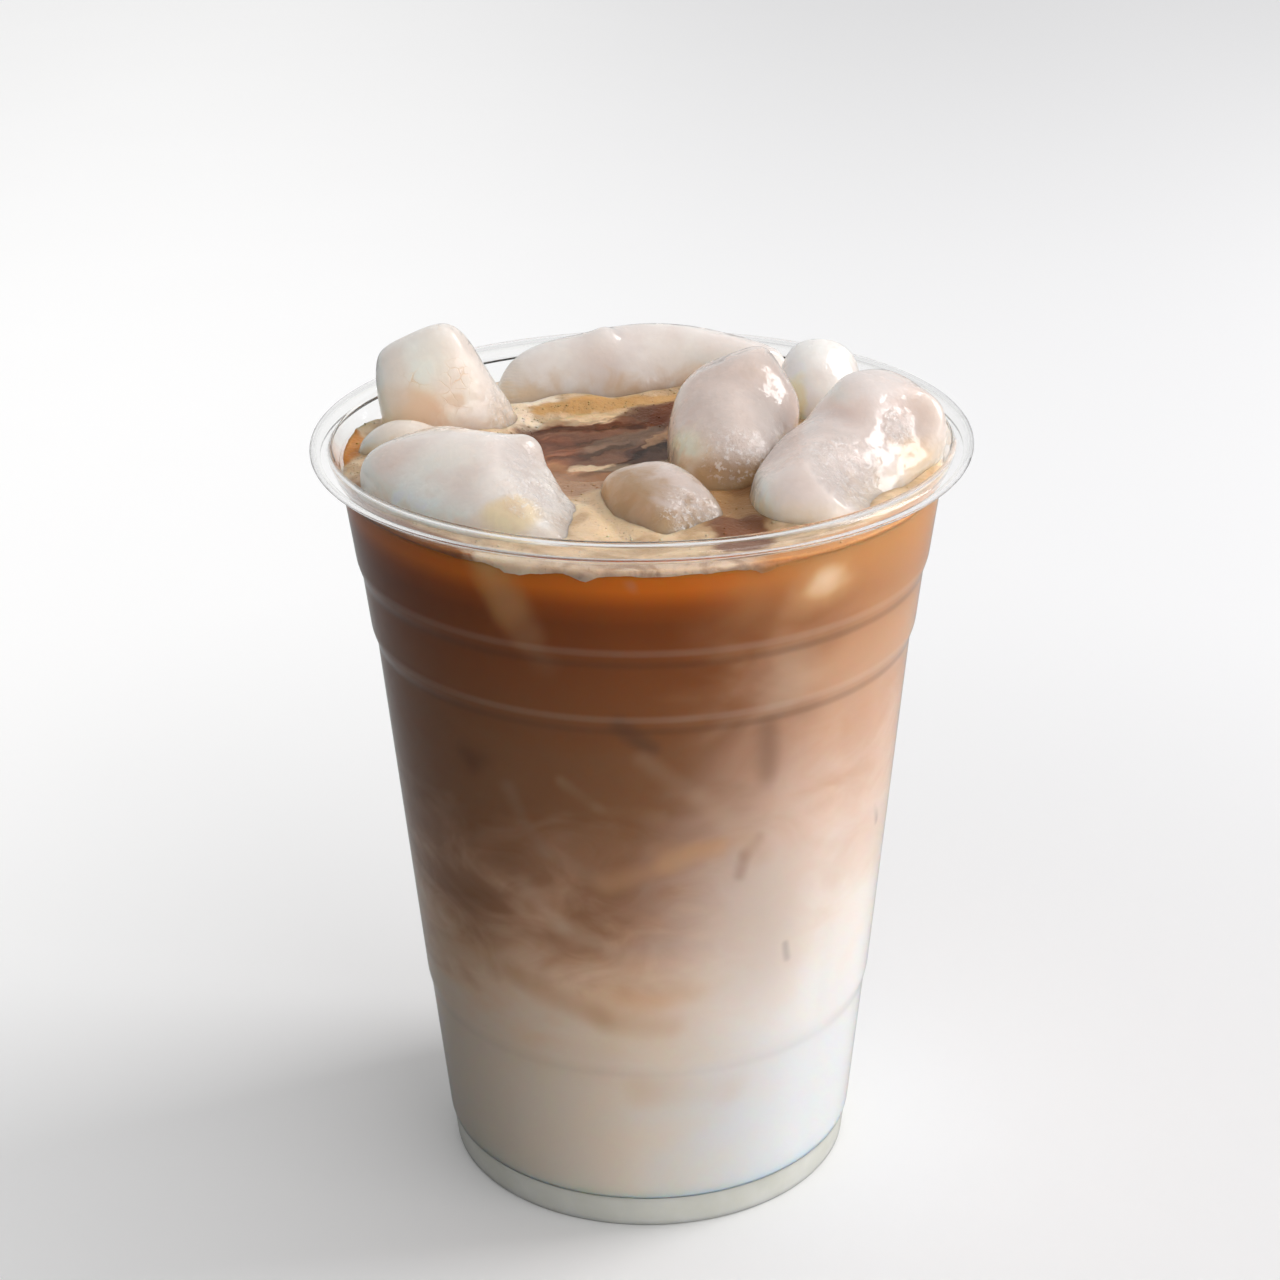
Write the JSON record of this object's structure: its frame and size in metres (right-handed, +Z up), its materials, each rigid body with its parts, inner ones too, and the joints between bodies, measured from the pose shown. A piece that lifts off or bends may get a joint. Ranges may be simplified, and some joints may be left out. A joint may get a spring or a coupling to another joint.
{
  "type": "iced white coffee in a clear plastic cup",
  "caption": "Layered iced white coffee in a clear tapered plastic cup with a rolled rim, stepped rings, half-melted ice standing out of the coffee, and pale foam round a dark pool.",
  "frame": {"origin": "centre of the foot ring, on the surface that the cup stands on", "axes": "+Z up along the cup's axis, +X to the right and +Y away from the camera as in the picture"},
  "size_m": [0.098, 0.098, 0.1313],
  "materials": {
    "clear_plastic": "clear, smooth, thin",
    "milk": "liquid, opaque, cream with a little coffee",
    "blend": "liquid, cloudy, swirled milky brown",
    "coffee": "liquid, dark, amber where light comes through",
    "foam": "fine froth, pale tan",
    "ice": "wet, milky, frosted in places"
  },
  "bodies": {
    "root": {"cup": "clear_plastic", "milk_layer": "milk", "blend_layer": "blend", "coffee_layer": "coffee", "foam": "foam", "ice_back_left": "ice", "ice_left_small": "ice", "ice_front_left": "ice", "ice_back": "ice", "ice_centre_right": "ice", "ice_back_right": "ice", "ice_right": "ice", "ice_front": "ice"}
  },
  "joints": []
}
